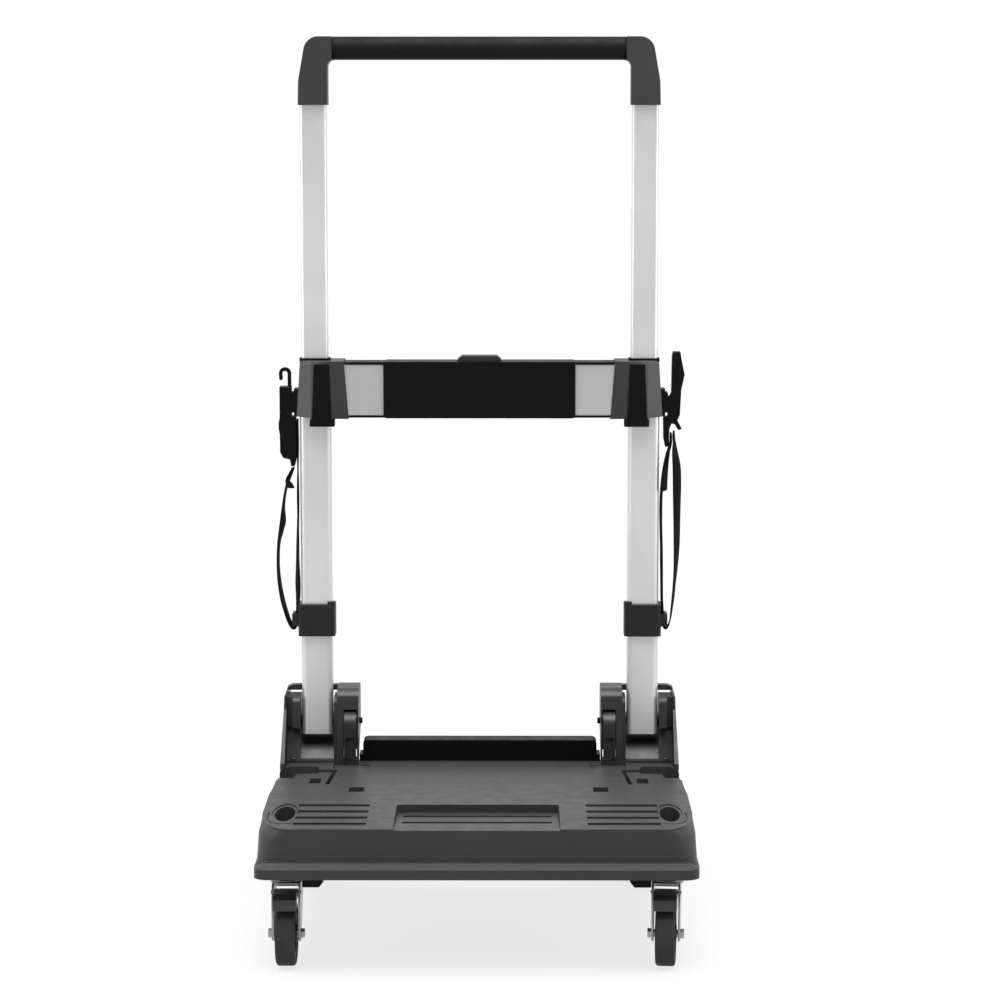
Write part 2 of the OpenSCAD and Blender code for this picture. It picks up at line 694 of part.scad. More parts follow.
module strap_clamp(side) {
    y = tube_y;
    on_side(side) color(black) difference() {
        union() {
            translate([(clamp_x[0] + clamp_x[1]) / 2, y - 1, clamp_bottom]) linear_extrude(clamp_h)
                rounded_rect(clamp_x[1] - clamp_x[0], lower_tube_d + 9, 5);
            // raised tab at the inner top corner
            box([clamp_x[0], clamp_x[0] + 8], [y - 15, y - 8],
                [clamp_bottom + clamp_h - 2, clamp_bottom + clamp_h + 3]);
            // lug with the strap's slot
            box([clamp_x[1] - 1, clamp_x[1] + 7], [y - 11, y + 11], [lug_h - 7, lug_h + 7]);
        }
        tube_section(lower_tube_w + 0.1, lower_tube_d + 0.1, clamp_bottom - 1, clamp_bottom + clamp_h + 5,
            6.05);
        box([clamp_x[1] + 0.6, clamp_x[1] + 4.4], [y - 8.5, y + 8.5], [lug_h - 8, lug_h + 8]);
        // split with its screw at the rear
        box([tube_x - 1, tube_x + 1], [y, y + 30], [clamp_bottom - 1, clamp_bottom + clamp_h + 1]);
    }
}

module crossbar() {
    x = collar_inner + 6;
    y = tube_y - 4;
    z = bar_bottom;
    color(silver) difference() {
        box([-x, x], [y - 14, y + 14], [z, z + bar_h]);
        box([-x - 1, x + 1], [y - 12, y + 12], [z + 2, z + bar_h - 2]);
        box([2 - button_w / 2, button_w / 2 - 2], [y - 8.4, y + 8.4], [z + bar_h - 5, z + bar_h + 5]);
    }
}

// Black cover over the middle of the crossbar, with a strip on to each collar above and below.
module crossbar_cover() {
    y = tube_y - 4;
    z0 = collar_bottom + 1;
    z1 = crossbar_top - 0.5;
    x_top = collar_inner + collar_taper[0] - 0.6;
    color(black) difference() {
        union() {
            deep(y - 18, y + 15.5) polygon([[-cover_x, z0 + 1], [4 - cover_x, z0], [cover_x - 4, z0],
                [cover_x, z0 + 1], [cover_x, z1 - 2], [cover_x - 2, z1], [2 - cover_x, z1],
                [-cover_x, z1 - 2]]);
            box([-x_top, x_top], [y - 15, y + 15], [z1 - 6, z1 - 0.5]);
            box([-collar_inner, collar_inner], [y - 15, y + 15], [z0 + 0.5, z0 + 6]);
        }
        box([-deck_w, deck_w], [y - 14.1, y + 20], [bar_bottom - 0.1, bar_bottom + bar_h + 0.1]);
        for (side = [-1, 1]) on_side(side)
            box([cover_x + 0.01, deck_w], [y - 20, y - 14.1 + 0.02],
            [bar_bottom + 1, bar_bottom + bar_h - 1]);
        box([2 - button_w / 2, button_w / 2 - 2], [y - 9, y + 9], [z1 - 8, z1 + 1]);
    }
}

module collar(side) {
    y = tube_y;
    x = [collar_inner, collar_outer];
    d = collar_depth / 2;
    ridge = tube_x - 8;
    on_side(side) color(mid_grey) difference() {
        intersection() {
            translate([0, 0, collar_bottom]) linear_extrude(collar_h)
                polygon([[x[0], y - d + 2], [ridge - 12, y - d - 2], [ridge + 12, y - d - 2],
                [x[1] + 2, y - d + 10],
                    [x[1] + 2, y + d - 6], [x[1] - 5, y + d], [x[0] + 6, y + d], [x[0], y + d - 6]]);
            deep(y - d - 3, y + d + 1) polygon([[x[0], collar_bottom],
                [x[1] + collar_taper[1], collar_bottom + 2],
                [x[1] - collar_taper[1], crossbar_top - 2], [x[1] - collar_taper[1] - 3, crossbar_top],
                [x[0] + collar_taper[0], crossbar_top]]);
        }
        tube_section(lower_tube_w + 0.1, lower_tube_d + 0.1, collar_bottom - 1, lower_tube_top, 6.05);
        tube_section(upper_tube_w + 0.8, upper_tube_d + 0.8, collar_bottom, crossbar_top + 1, 4.4);
        // seat of the crossbar's end
        box([x[0] - 1, x[0] + 6.05], [y - 4 - 14.1, y - 4 + 14.1],
            [bar_bottom - 0.1, bar_bottom + bar_h + 0.1]);
        rod([x[0] - 1, tube_x], y, bolt_h, bolt_r + 0.1);
        // seat of the front insert
        collar_insert_body(0.05);
        // shadow line round the top of the upper tube
        tube_section(upper_tube_w + 5, upper_tube_d + 5, crossbar_top - 2, crossbar_top + 1, 6);
    }
}

module collar_insert_body(grow) {
    y = tube_y - collar_depth / 2 - 2;
    w = [insert_w[0] / 2 + grow, insert_w[1] / 2 + grow];
    deep(y - 1.5, y + 3 + grow) polygon([[tube_x - 8 - w[1], collar_bottom - 1],
        [tube_x - 8 + w[1], collar_bottom - 1],
        [tube_x - 8 + w[0], crossbar_top - 3 + grow], [tube_x - 8 - w[0], crossbar_top - 3 + grow]]);
}

module collar_insert(side) {
    y = tube_y - collar_depth / 2;
    on_side(side) color(black) {
        collar_insert_body(0);
        box([tube_x - 22, tube_x + 5], [y - 3.5, tube_y - lower_tube_d / 2 - 0.2],
            [collar_bottom - 8, collar_bottom]);
        // trim ring round the upper tube
        difference() {
            tube_section(upper_tube_w + 4.9, upper_tube_d + 4.9, crossbar_top - 1.98, crossbar_top + 2.5,
                5.9);
            tube_section(upper_tube_w + 0.8, upper_tube_d + 0.8, crossbar_top - 3, crossbar_top + 3, 4.4);
        }
    }
}

// Screws of the collars, the strap clamps and the handle, all driven from the rear.
module frame_screws() {
    color(zinc) for (side = [-1, 1]) on_side(side)
        for (p = [[collar_inner + 9, tube_y + collar_depth / 2, collar_bottom + 12],
                [collar_inner + 9, tube_y + collar_depth / 2, crossbar_top - 12]])
            translate(p) rotate([-90, 0, 0]) cylinder(h = 2, r = 4);
}

module release_button() {
    y = tube_y - 4;
    z = crossbar_top - 0.5;
    color(dark_grey) {
        deep(y - 8, y + 8) polygon([[-button_w / 2 + 2.3, z - 8], [button_w / 2 - 2.3, z - 8],
            [button_w / 2 - 2.3, z + button_h - 4], [button_w / 2 - 7, z + button_h],
            [7 - button_w / 2, z + button_h],
            [2.3 - button_w / 2, z + button_h - 4]]);
        // wedge that draws the bolts in
        deep(y - 5, y + 5) polygon([[-22, z - 7], [22, z - 7], [22, z - 12], [6, z - 24], [-6, z - 24],
            [-22, z - 12]]);
    }
}

module lock_bolt(side) {
    y = tube_y;
    on_side(side) color(zinc) {
        rod([60, tube_x - upper_tube_w / 2 - 0.6], y, bolt_h, bolt_r);
        box([18, 62], [y - 4, y + 1], [bolt_h - 5, bolt_h + 5]);
    }
}

// ---- straps

module strap_holder(side) {
    y = tube_y;
    on_side(side) color(black) difference() {
        union() {
            deep(y - 10, y + 10) polygon([[collar_outer + 2.02, collar_bottom + 2.5],
                [collar_outer + 0.05, collar_bottom + 32], [collar_outer + 5, collar_bottom + 32],
                [collar_outer + 5, collar_bottom + 2.5]]);
            for (d = [-9, 6]) box([collar_outer + 4, collar_outer + 8], [y + d, y + d + 3],
                [collar_bottom + 6, collar_bottom + 28]);
        }
        rod([collar_outer + 4, collar_outer + 9], y, collar_bottom + 17, 3);
    }
}

// Buckle with its hook, standing beside the collar and held by its holder. The left one
// shows its side with the hook, and the right one hangs a little higher, turned edge on.
module strap_buckle(side) {
    y = tube_y;
    z = collar_bottom;
    x = collar_outer;
    on_side(side) color(black) if (side < 0) {
        deep(y - 9, y + 9) polygon([[x + 8.05, z + 34], [x + 20.8, z + 34], [x + 20.8, z], [x + 22, z - 5],
            [x + 22, z - 12], [x + 20.8, z - 18], [x + 20.6, z - 38], [x + 17, z - 44], [x + 10, z - 45.5],
            [x + 8.6, z - 53], [x + 5, z - 53], [x + 3.2, z - 44], [x + 3.2, z + 1.5],
            [x + 8.05, z + 1.5]]);
        deep(y - 2.5, y + 2.5) polygon(concat([[x + 8.2, z + 33]], arc([x + 15, z + 48], 6.8, 180, -10, 12),
            [[x + 21.4, z + 43]], arc([x + 19.4, z + 42.5], 2, 0, -180, 6),
            arc([x + 15, z + 48], 2.8, -10, 180, 12), [[x + 12.2, z + 33]]));
    } else {
        deep(y - 7, y + 7) polygon([[x + 3.2, z + 1.5], [x + 8.05, z + 1.5], [x + 8.05, z + 26],
            [x + 9.5, z + 23], [x + 11.8, z + 27],
            [x + 12.5, z + 68], [x + 13.5, z + 72], [x + 21.5, z + 72], [x + 22.3, z + 66],
            [x + 26.2, z + 47],
            [x + 22.6, z + 30.6], [x + 21.3, z + 3.3], [x + 18.5, z - 2.5], [x + 23.5, z - 12],
            [x + 19.5, z - 13.5], [x + 15.5, z - 7], [x + 12.3, z - 6], [x + 10, z - 12], [x + 9.6, z - 31],
            [x + 5.6, z - 32], [x + 3.6, z - 22]]);
    }
}

// The loose outer run and the inner run beside the tube, both from the buckle to the lug.
module strap_webbing(side) {
    inner = side > 0 ? inner_run_right : inner_run_left;
    outer = side > 0 ? outer_run_right : outer_run_left;
    on_side(side) color(webbing_black) for (run = [inner, outer])
        deep(tube_y - strap_w / 2, tube_y + strap_w / 2) polygon(ribbon(smooth(run, 4), strap_t));
}

// ---- upper frame

module upper_tube(side) {
    on_side(side) color(silver) difference() {
        tube_section(upper_tube_w, upper_tube_d, upper_tube_bottom, upper_tube_top, 4);
        tube_section(upper_tube_w - 3, upper_tube_d - 3, upper_tube_bottom - 1, upper_tube_top + 1, 2.5);
        rod([tube_x - 30, tube_x], tube_y, bolt_h, bolt_r + 0.5);
    }
}

// Plastic end of the upper tube that runs inside the lower one.
module tube_guide(side) {
    on_side(side) color(black) {
        tube_section(upper_tube_w - 3.1, upper_tube_d - 3.1, upper_tube_bottom, upper_tube_bottom + 20,
            2.4);
        tube_section(upper_tube_w, upper_tube_d, upper_tube_bottom - 5, upper_tube_bottom - 0.05, 4);
    }
}

module handle_frame() {
    top = overall_h;
    a = arm_outer;
    color(dark_grey) difference() {
        union() {
            for (side = [-1, 1]) on_side(side) deep(tube_y - arm_depth / 2, tube_y + arm_depth / 2)
                polygon(concat([[arm_inner, arm_bottom], [a[0], arm_bottom],
                [a[0] - 0.6, upper_tube_top + 3]],
                    arc([a[1] - 16, top - 16], 16, 5, 90, 10), [[grip_x, top], [grip_x, top - 25]],
                    arc([arm_inner - 7, top - 32], 7, 90, 0, 5)));
            rod([-grip_x - 1, grip_x + 1], tube_y, grip_h, 9);
        }
        for (side = [-1, 1]) on_side(side)
            tube_section(upper_tube_w + 0.1, upper_tube_d + 0.1, arm_bottom - 1, upper_tube_top, 4.05);
    }
}

module handle_grip() {
    color(black) difference() {
        rod([-grip_x + 0.3, grip_x - 0.3], tube_y, grip_h, grip_r);
        rod([-grip_x - 1, grip_x + 1], tube_y, grip_h, 9.02);
    }
}

deck_tray();
deck_feet();
rear_crossmember();
wheel_housing(-1);  // wheel_housing_left
wheel_housing(1);  // wheel_housing_right
housing_screws();
rear_axle();
axle_caps();
pivot_pin(-1);  // pivot_pin_left
pivot_pin(1);  // pivot_pin_right
latch_pins();
fold_latch(-1);  // fold_latch_left
fold_latch(1);  // fold_latch_right
wheel_tyre(-1);  // wheel_tyre_left
wheel_tyre(1);  // wheel_tyre_right
wheel_rim(-1);  // wheel_rim_left
wheel_rim(1);  // wheel_rim_right
wheel_bush(-1);  // wheel_bush_left
wheel_bush(1);  // wheel_bush_right
caster_plate(-1);  // caster_plate_left
caster_plate(1);  // caster_plate_right
caster_screws();
caster_fork(-1);  // caster_fork_left
caster_fork(1);  // caster_fork_right
caster_axle(-1);  // caster_axle_left
caster_axle(1);  // caster_axle_right
caster_tyre(-1);  // caster_tyre_left
caster_tyre(1);  // caster_tyre_right
caster_core(-1);  // caster_core_left
caster_core(1);  // caster_core_right
brake_pedal(-1);  // brake_pedal_left
brake_pedal(1);  // brake_pedal_right
lower_tube(-1);  // lower_tube_left
lower_tube(1);  // lower_tube_right
tube_foot(-1);  // tube_foot_left
tube_foot(1);  // tube_foot_right
strap_clamp(-1);  // strap_clamp_left
strap_clamp(1);  // strap_clamp_right
crossbar();
crossbar_cover();
collar(-1);  // collar_left
collar(1);  // collar_right
collar_insert(-1);  // collar_insert_left
collar_insert(1);  // collar_insert_right
frame_screws();
release_button();
lock_bolt(-1);  // lock_bolt_left
lock_bolt(1);  // lock_bolt_right
strap_holder(-1);  // strap_holder_left
strap_holder(1);  // strap_holder_right
strap_webbing(-1);  // strap_webbing_left
strap_webbing(1);  // strap_webbing_right
strap_buckle(-1);  // strap_buckle_left
strap_buckle(1);  // strap_buckle_right
upper_tube(-1);  // upper_tube_left
upper_tube(1);  // upper_tube_right
tube_guide(-1);  // tube_guide_left
tube_guide(1);  // tube_guide_right
handle_frame();
handle_grip();
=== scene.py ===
"""Folding platform cart: finishes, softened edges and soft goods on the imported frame."""

import json
import math

import bpy
from mathutils import Matrix, Vector


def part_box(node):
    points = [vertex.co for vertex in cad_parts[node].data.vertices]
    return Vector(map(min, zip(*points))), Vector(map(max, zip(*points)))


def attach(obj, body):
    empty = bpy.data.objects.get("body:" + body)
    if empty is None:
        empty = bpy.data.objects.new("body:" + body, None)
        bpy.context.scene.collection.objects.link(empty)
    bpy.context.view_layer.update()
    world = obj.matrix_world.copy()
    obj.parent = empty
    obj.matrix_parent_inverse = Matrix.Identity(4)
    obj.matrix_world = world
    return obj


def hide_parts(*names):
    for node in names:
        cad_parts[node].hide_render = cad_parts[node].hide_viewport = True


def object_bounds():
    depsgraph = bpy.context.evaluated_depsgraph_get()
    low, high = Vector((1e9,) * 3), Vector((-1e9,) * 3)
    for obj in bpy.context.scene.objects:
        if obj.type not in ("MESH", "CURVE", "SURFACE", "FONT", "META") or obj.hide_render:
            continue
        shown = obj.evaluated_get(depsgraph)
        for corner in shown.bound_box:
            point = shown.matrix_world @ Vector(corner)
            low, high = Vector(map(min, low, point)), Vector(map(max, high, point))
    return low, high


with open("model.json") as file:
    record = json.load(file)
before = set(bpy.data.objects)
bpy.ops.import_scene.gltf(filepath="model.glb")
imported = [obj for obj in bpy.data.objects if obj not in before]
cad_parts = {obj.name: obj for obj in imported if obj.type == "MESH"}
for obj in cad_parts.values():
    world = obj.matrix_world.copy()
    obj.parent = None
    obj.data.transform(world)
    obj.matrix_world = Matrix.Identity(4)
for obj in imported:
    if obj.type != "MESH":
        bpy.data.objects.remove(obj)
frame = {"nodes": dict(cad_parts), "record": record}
nodes = frame["nodes"]
cad_box = [list(corner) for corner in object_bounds()]


# ---- camera


CAMERA_DISTANCE = 2.914
CAMERA_HEIGHT = 0.867
CAMERA_ASIDE = 0.0325
LOOKS_DOWN = 7.5
LOOKS_ASIDE = 0.18


def add_camera():
    """A long lens near the height of the handle, looking slightly down at the cart's front."""
    front = cad_box[0][1]
    data = bpy.data.cameras.new("camera")
    data.lens = 108
    data.sensor_width = 36
    data.clip_end = 60
    camera = bpy.data.objects.new("camera", data)
    camera.location = (CAMERA_ASIDE, front - CAMERA_DISTANCE, CAMERA_HEIGHT)
    camera.rotation_euler = (math.radians(90 - LOOKS_DOWN), 0, math.radians(LOOKS_ASIDE))
    bpy.context.scene.collection.objects.link(camera)
    bpy.context.scene.camera = camera


add_camera()


# ---- materials


def node_material(name):
    """A new material, with its node tree and its shader."""
    material = bpy.data.materials.new(name)
    material.use_nodes = True
    tree = material.node_tree
    return material, tree, tree.nodes["Principled BSDF"]


def add(tree, kind, **values):
    """A shader node with its inputs and settings given by name."""
    node = tree.nodes.new(kind)
    for key, value in values.items():
        label = key.replace("_", " ").title()
        if label in node.inputs:
            node.inputs[label].default_value = value
        else:
            setattr(node, key, value)
    return node


def noise(tree, scale, detail=3.0, stretch=(1, 1, 1)):
    """Noise in the object's own coordinates, in metres."""
    place = add(tree, "ShaderNodeTexCoord")
    mapping = add(tree, "ShaderNodeMapping")
    mapping.inputs["Scale"].default_value = stretch
    tree.links.new(place.outputs["Object"], mapping.inputs["Vector"])
    texture = add(tree, "ShaderNodeTexNoise", scale=scale, detail=detail)
    tree.links.new(mapping.outputs["Vector"], texture.inputs["Vector"])
    return texture.outputs["Fac"]


def spread(tree, value, low, high, start=0.3, end=0.7):
    """value mapped to low..high."""
    node = add(tree, "ShaderNodeMapRange")
    node.inputs["From Min"].default_value = start
    node.inputs["From Max"].default_value = end
    node.inputs["To Min"].default_value = low
    node.inputs["To Max"].default_value = high
    tree.links.new(value, node.inputs["Value"])
    return node.outputs["Result"]


def two_colours(tree, value, dark, light):
    """dark where value is 0 and light where it is 1."""
    mix = add(tree, "ShaderNodeMix", data_type="RGBA")
    mix.inputs[6].default_value = (*dark, 1)
    mix.inputs[7].default_value = (*light, 1)
    tree.links.new(value, mix.inputs[0])
    return mix.outputs[2]


def bump(tree, shader, height, strength, distance):
    """Relief from height, distance metres deep."""
    node = add(tree, "ShaderNodeBump", strength=strength, distance=distance)
    tree.links.new(height, node.inputs["Height"])
    tree.links.new(node.outputs["Normal"], shader.inputs["Normal"])


def plastic(name, grey, roughness, grain=900, relief=0.00012, wear=0.12, gloss=0.3):
    """Moulded plastic: an eroded grain, cloudy gloss and faint handling marks."""
    material, tree, shader = node_material(name)
    cloud = noise(tree, 14, 4)
    dark = [grey * (1 - wear)] * 3
    light = [grey * (1 + wear), grey * (1 + wear), grey * (1 + wear) * 1.01]
    tree.links.new(
        two_colours(tree, spread(tree, cloud, 0, 1), dark, light),
        shader.inputs["Base Color"],
    )
    tree.links.new(
        spread(tree, noise(tree, 60, 5), roughness - 0.06, roughness + 0.08),
        shader.inputs["Roughness"],
    )
    bump(tree, shader, noise(tree, grain, 2), 0.35, relief)
    shader.inputs["Specular IOR Level"].default_value = gloss
    return material


def paint_shade_inward(material, start, end, factor):
    """Paints shade into a plastic's colour: darker towards the middle of the cart, between two
    distances from it.
    """
    tree = material.node_tree
    shader = next(node for node in tree.nodes if node.type == "BSDF_PRINCIPLED")
    colour = shader.inputs["Base Color"].links[0].from_socket
    place = add(tree, "ShaderNodeTexCoord")
    split = add(tree, "ShaderNodeSeparateXYZ")
    tree.links.new(place.outputs["Object"], split.inputs["Vector"])
    distance = add(tree, "ShaderNodeMath", operation="ABSOLUTE")
    tree.links.new(split.outputs["X"], distance.inputs[0])
    ease = add(tree, "ShaderNodeMapRange", interpolation_type="SMOOTHSTEP")
    ease.inputs["From Min"].default_value = start
    ease.inputs["From Max"].default_value = end
    ease.inputs["To Min"].default_value = factor
    ease.inputs["To Max"].default_value = 1
    tree.links.new(distance.outputs["Value"], ease.inputs["Value"])
    scale = add(tree, "ShaderNodeVectorMath", operation="SCALE")
    tree.links.new(colour, scale.inputs[0])
    tree.links.new(ease.outputs["Result"], scale.inputs["Scale"])
    tree.links.new(scale.outputs["Vector"], shader.inputs["Base Color"])


def brushed(name, grey, roughness, stretch, metallic=1.0, relief=0.00005):
    """Metal with a grain drawn along one axis."""
    material, tree, shader = node_material(name)
    grain = noise(tree, 240, 3, stretch)
    cloud = noise(tree, 9, 3)
    low, high = grey * 0.93, min(grey * 1.05, 1)
    tree.links.new(
        two_colours(tree, spread(tree, cloud, 0, 1), [low, low, low * 1.01], [high, high, high * 1.01]),
        shader.inputs["Base Color"],
    )
    tree.links.new(spread(tree, grain, roughness - 0.05, roughness + 0.08), shader.inputs["Roughness"])
    shader.inputs["Metallic"].default_value = metallic
    bump(tree, shader, grain, 0.25, relief)
    return material


def rubber(name, grey):
    """Tyre rubber: matt, with a dusty bloom and pores."""
    material, tree, shader = node_material(name)
    dust = noise(tree, 30, 6)
    tree.links.new(
        two_colours(tree, spread(tree, dust, 0, 1, 0.35, 0.75), [grey * 0.8] * 3, [grey * 1.7] * 3),
        shader.inputs["Base Color"],
    )
    tree.links.new(spread(tree, dust, 0.62, 0.85), shader.inputs["Roughness"])
    bump(tree, shader, noise(tree, 1200, 2), 0.4, 0.0001)
    shader.inputs["Specular IOR Level"].default_value = 0.2
    return material


def woven(name, grey):
    """Polyester webbing: ribs along and picks across, from the strap's own length and width, with
    painted shade in the weave's hollows and lighter crowns.
    """
    material, tree, shader = node_material(name)
    place = add(tree, "ShaderNodeTexCoord")
    height = None
    for axis, pitch in (("X", 160), ("Y", 130)):
        wave = add(tree, "ShaderNodeTexWave", bands_direction=axis, scale=pitch, distortion=0.6)
        tree.links.new(place.outputs["UV"], wave.inputs["Vector"])
        if height is None:
            height = wave.outputs["Fac"]
        else:
            product = add(tree, "ShaderNodeMath", operation="MULTIPLY")
            tree.links.new(height, product.inputs[0])
            tree.links.new(wave.outputs["Fac"], product.inputs[1])
            height = product.outputs["Value"]
    # painted shade: the colour follows the weave's relief, darker in its hollows and lighter on its
    # crowns
    tree.links.new(
        two_colours(tree, height, [grey * 0.6] * 3, [grey * 1.5] * 3),
        shader.inputs["Base Color"],
    )
    shader.inputs["Roughness"].default_value = 0.85
    shader.inputs["Specular IOR Level"].default_value = 0.1
    bump(tree, shader, height, 0.6, 0.0004)
    return material


FINISH = {
    "deck": plastic("deck_plastic", 0.029, 0.42, grain=700, wear=0.06, gloss=0.17),
    "housing": plastic("housing_plastic", 0.018, 0.42, wear=0.08, gloss=0.34),
    "black_plastic": plastic("black_plastic", 0.0025, 0.45, gloss=0.09),
    "clamp": plastic("clamp_plastic", 0.011, 0.45, gloss=0.2),
    # partly painted light: the pedals are lighter than the black plastic, partly their own tone and
    # partly standing in for light their tops miss under the deck
    "pedal": plastic("pedal_plastic_and_painted_light", 0.03, 0.35, gloss=0.4),
    "collar_plastic": plastic("collar_plastic", 0.055, 0.46, gloss=0.3),
    "handle_plastic": plastic("handle_plastic", 0.026, 0.44, gloss=0.3),
    "grip": plastic("grip_rubber", 0.004, 0.6, grain=500, gloss=0.12),
    "tube": brushed("satin_tube", 0.65, 0.36, (6, 6, 0.15), metallic=0.7),
    "bar": brushed("satin_bar", 0.46, 0.4, (0.15, 6, 6), metallic=0.7),
    "zinc": brushed("zinc_plate", 0.33, 0.3, (1, 1, 1)),
    "tyre": rubber("tyre_rubber", 0.02),
    "rim": plastic("rim_plastic", 0.03, 0.42, gloss=0.3),
    "webbing": woven("strap_weave", 0.004),
}
# painted shade: the collars' inner facets are darker towards the middle of the cart
paint_shade_inward(FINISH["collar_plastic"], 0.163, 0.18, 0.4)
# pieces whose plastic looks a little different from the rest of their slot; the pedals' lighter plastic
# is partly their own tone and partly painted light for tops that lie in the deck's shadow
SPECIAL = {
    "strap_clamp_left": "clamp",
    "strap_clamp_right": "clamp",
    "brake_pedal_left": "pedal",
    "brake_pedal_right": "pedal",
}
SLOT_OF = {part["node"]: part["material_slot"] for part in frame["record"]["subparts"]}


def paint(obj, slot):
    """Gives a CAD node its finish."""
    obj.data.materials.clear()
    obj.data.materials.append(FINISH[slot])


# ---- softened edges on the carried-over CAD nodes


# how much the area may grow before a merged face counts as folded
FOLDED = 0.005
# the width of the rounded edges of each slot, in metres
EDGE = {
    "deck": 0.0012,
    "housing": 0.001,
    "black_plastic": 0.0007,
    "collar_plastic": 0.0012,
    "handle_plastic": 0.002,
    "grip": 0.001,
    "tube": 0.0004,
    "bar": 0.0006,
    "zinc": 0.0004,
    "tyre": 0.0012,
    "rim": 0.0007,
    "clamp": 0.0007,
    "pedal": 0.0007,
}


def surface(obj):
    """The area of a piece's triangles, with its modifiers applied."""
    bpy.context.view_layer.update()
    shown = obj.evaluated_get(bpy.context.evaluated_depsgraph_get())
    mesh = shown.to_mesh()
    mesh.calc_loop_triangles()
    area = sum(triangle.area for triangle in mesh.loop_triangles)
    shown.to_mesh_clear()
    return area


def soften(obj, width, angle=28, segments=2):
    """Rounds a piece's sharp edges, as a moulding or a pressing has them."""
    plain = surface(obj)
    weld = obj.modifiers.new("weld", "WELD")
    weld.merge_threshold = 0.00002
    flat = obj.modifiers.new("flat", "DECIMATE")
    flat.decimate_type = "DISSOLVE"
    flat.angle_limit = math.radians(0.5)
    bevel = obj.modifiers.new("bevel", "BEVEL")
    bevel.width = width
    bevel.segments = segments
    bevel.limit_method = "ANGLE"
    bevel.angle_limit = math.radians(angle)
    bevel.use_clamp_overlap = True
    obj.modifiers.new("normals", "WEIGHTED_NORMAL").keep_sharp = True
    for face in obj.data.polygons:
        face.use_smooth = True
    if surface(obj) > plain * (1 + FOLDED):
        # a ring merged into one face can fold over its own hole, and then it stays unmerged
        obj.modifiers.remove(flat)


for name, obj in nodes.items():
    slot = SPECIAL.get(name, SLOT_OF[name])
    paint(obj, slot)
    if slot in EDGE:
        soften(obj, EDGE[slot])


# ---- straps


def smooth(points, steps=8):
    """Points of a smooth line through the given ones, which may have any number of values each."""
    out = []
    last = len(points) - 1
    for i in range(last):
        a, b, c, d = (Vector(points[j]) for j in (max(i - 1, 0), i, i + 1, min(i + 2, last)))
        for k in range(steps):
            t = k / steps
            rise = (2 * a - 5 * b + 4 * c - d) * t**2
            turn = (3 * b - 3 * c + d - a) * t**3
            out.append(0.5 * (2 * b + (c - a) * t + rise + turn))
    return out + [Vector(points[last])]


def strap_piece(name, vertices, faces, uv):
    """A piece of the lower frame's webbing from its mesh, with the width and run of each vertex."""
    mesh = bpy.data.meshes.new(name)
    mesh.from_pydata([tuple(v) for v in vertices], [], faces)
    layer = mesh.uv_layers.new(name="along")
    for loop in mesh.loops:
        layer.data[loop.index].uv = uv[loop.vertex_index]
    mesh.validate()
    for face in mesh.polygons:
        face.use_smooth = True
    obj = bpy.data.objects.new(name, mesh)
    bpy.context.scene.collection.objects.link(obj)
    obj.data.materials.append(FINISH["webbing"])
    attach(obj, "lower_frame")
    return obj


# outline of the webbing's section, as shares of its width and thickness
STRAP_EDGE = [
    (-0.5, -0.25), (-0.47, -0.5), (0, -0.5), (0.47, -0.5), (0.5, -0.25),
    (0.5, 0.25), (0.47, 0.5), (0, 0.5), (-0.47, 0.5), (-0.5, 0.25),
]
# how far the webbing's middle bows, in metres, and how quickly that changes along it
STRAP_BOW = 0.0012
BOW_RATE = 55
TUBE_Y = sum(corner[1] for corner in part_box("lower_tube_left")) / 2


def webbing(name, side, route, width=0.015, thickness=0.0016):
    """A flat strap beside a tube, along one of the runs below."""
    line = smooth(route)
    places = [Vector((side * p[0], p[3], p[1])) / 1000 + Vector((0, TUBE_Y, 0)) for p in line]
    vertices, uv, along = [], [], 0.0
    for i, place in enumerate(places):
        before, after = places[max(i - 1, 0)], places[min(i + 1, len(places) - 1)]
        tangent = (after - before).normalized()
        flat = Vector((0, 1, 0))
        flat = (flat - tangent * flat.dot(tangent)).normalized()
        flat = Matrix.Rotation(math.radians(line[i][2]), 3, tangent) @ flat
        proud = tangent.cross(flat)
        along += (place - before).length
        curl = STRAP_BOW * math.sin(along * BOW_RATE + side)
        for a, b in STRAP_EDGE:
            cup = curl * (4 * a * a - 0.5)
            vertices.append(place + flat * a * width + proud * (b * thickness + cup))
            uv.append((a * width, along))
    n = len(STRAP_EDGE)
    faces = [
        (i * n + k, i * n + (k + 1) % n, (i + 1) * n + (k + 1) % n, (i + 1) * n + k)
        for i in range(len(line) - 1)
        for k in range(n)
    ]
    faces += [tuple(range(n))[::-1], tuple(range(len(vertices) - n, len(vertices)))]
    return strap_piece(name, vertices, faces, uv)


# Each strap as one run: down from its buckle, round the lug of its clamp and up inside the loop.
# Distance from the middle and height in millimetres, turn towards the front in degrees, depth behind
# the tube's middle in millimetres.
LEFT_RUN = [
    (203.6, 474, 6, 0), (207.5, 464, 9, 0), (211, 455, 4, 0), (214, 442, 3, 0),
    (215.8, 428, 7, 0), (216.2, 414, 19, 0), (218.2, 402, 13, 0), (220.4, 388, 5, 0),
    (221, 366, 4, 0), (220, 346, 7, 0), (217.4, 328, 9, 0), (213.5, 313, 8, 0),
    (209.5, 302, 7, 0), (205.5, 296.3, 5, 0), (202.3, 297.5, 3, 0), (201.5, 303, 3, 0),
    (201.3, 314, 9, 0), (200.4, 330, 18, 0), (200.2, 346, 22, 0), (199.6, 372, 14, 0),
    (199.2, 410, 8, 0), (199, 450, 6, 0), (198.8, 485, 4, 0), (198.7, 512, 3, 0),
    (198.6, 527, 0, 0),
]
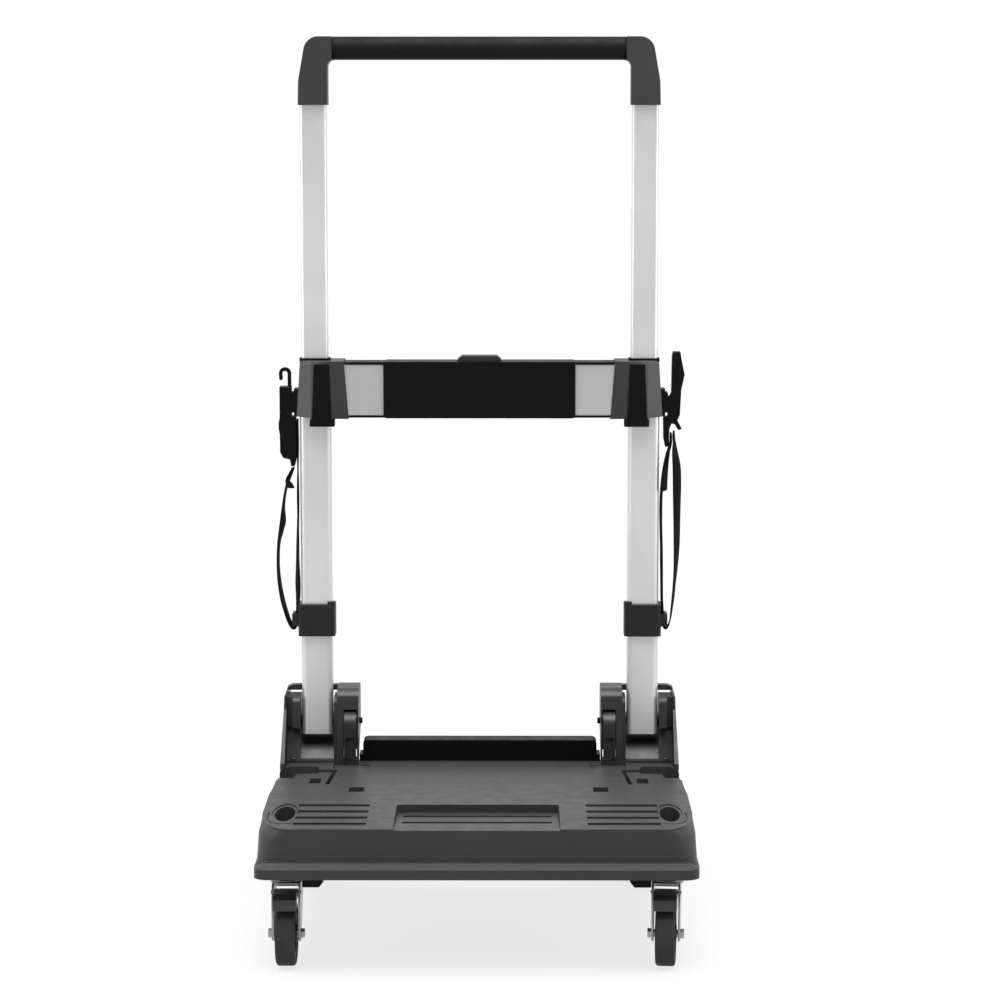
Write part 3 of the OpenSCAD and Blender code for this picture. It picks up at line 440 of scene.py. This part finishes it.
RIGHT_RUN = [
    (212, 514, 2, 0), (212.2, 504, 8, 0), (213, 492, 22, 0), (215.5, 474, 36, 0),
    (216.4, 455, 38, 0), (216.4, 436, 34, 0), (216, 412, 29, 0), (215.7, 388, 25, 0),
    (215.2, 362, 16, 0), (213.8, 340, 10, 0), (211.6, 320, 7, 0), (209.3, 304, 5, 0),
    (205.5, 296.3, 4, 0), (202.3, 297.5, 2, 0), (201.5, 303, 2, 0), (201.3, 314, 3, 0),
    (200.4, 330, 4, 0), (199.4, 360, 4, 0), (199, 400, 4, 0), (199, 440, 4, 0),
    (200.4, 466, 4, 0), (204, 486, 5, 0), (208.2, 500, 3, 0), (209, 512, 2, 0),
]
# the free ends that hang from the buckles
RIGHT_END = [
    (207.6, 500, 6, -2), (205.4, 490, 14, -3), (203.4, 478, 20, -4), (202.6, 464, 22, -5),
    (202.4, 449, 22, -5),
]
LEFT_END = [
    (205.6, 470, 8, -3), (209.5, 461, 20, -5), (207.4, 455, 40, -7), (205.8, 452.5, 30, -9),
]


def add_straps():
    left = webbing("strap_left", -1, LEFT_RUN)
    right = webbing("strap_right", 1, RIGHT_RUN)
    webbing("strap_end_right", 1, RIGHT_END)
    webbing("strap_end_left", -1, LEFT_END, width=0.009)
    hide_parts("strap_webbing_left")
    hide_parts("strap_webbing_right")


add_straps()


# ---- studio


FRONT_GLOW = 0.3
BACK_GLOW = 1.02


def surround():
    """White behind the cart and a softer grey in front of it, by direction only."""
    world = bpy.data.worlds.new("surround")
    world.use_nodes = True
    tree = world.node_tree
    place = add(tree, "ShaderNodeTexCoord")
    split = add(tree, "ShaderNodeSeparateXYZ")
    tree.links.new(place.outputs["Generated"], split.inputs["Vector"])
    tree.links.new(
        spread(tree, split.outputs["Y"], FRONT_GLOW, BACK_GLOW, -0.1, 0.5),
        tree.nodes["Background"].inputs["Strength"],
    )
    tree.nodes["Background"].inputs["Color"].default_value = (1, 1, 1, 1)
    bpy.context.scene.world = world


def add_studio():
    """A pale floor lit softly from below, as on a product table, and soft lights above and beside."""
    bpy.ops.mesh.primitive_plane_add(size=60, location=(0, 20, -0.0005))
    floor = bpy.context.object
    floor.name = "floor"
    material, tree, shader = node_material("studio_floor")
    shade = two_colours(tree, spread(tree, noise(tree, 3, 2), 0, 1), [0.1] * 3, [0.11] * 3)
    tree.links.new(shade, shader.inputs["Base Color"])
    shader.inputs["Roughness"].default_value = 0.9
    shader.inputs["Specular IOR Level"].default_value = 0.1
    shader.inputs["Emission Color"].default_value = (1, 1, 1, 1)
    shader.inputs["Emission Strength"].default_value = 0.77
    floor.data.materials.append(material)
    lamps = [
        ("overhead", "SUN", (0, -1, 3), (0, -0.25, 0), 5.6, 0.9),
        ("front_top", "AREA", (0.1, -1.1, 1.9), (0, -0.2, 0.15), 9, 1.4),
        ("left", "AREA", (-1.15, -0.3, 0.75), (-0.2, 0.1, 0.5), 4.5, 0.8),
        ("right", "AREA", (1.15, -0.3, 0.75), (0.2, 0.1, 0.5), 4.5, 0.8),
    ]
    for name, kind, place, aim, power, spread_out in lamps:
        data = bpy.data.lights.new(name, kind)
        data.energy = power
        if kind == "SUN":
            data.angle = spread_out
        else:
            data.size = spread_out
        lamp = bpy.data.objects.new(name, data)
        lamp.location = place
        lamp.rotation_euler = (Vector(aim) - Vector(place)).to_track_quat("-Z", "Y").to_euler()
        bpy.context.scene.collection.objects.link(lamp)
    surround()
    bpy.context.scene.view_settings.view_transform = "Standard"


add_studio()
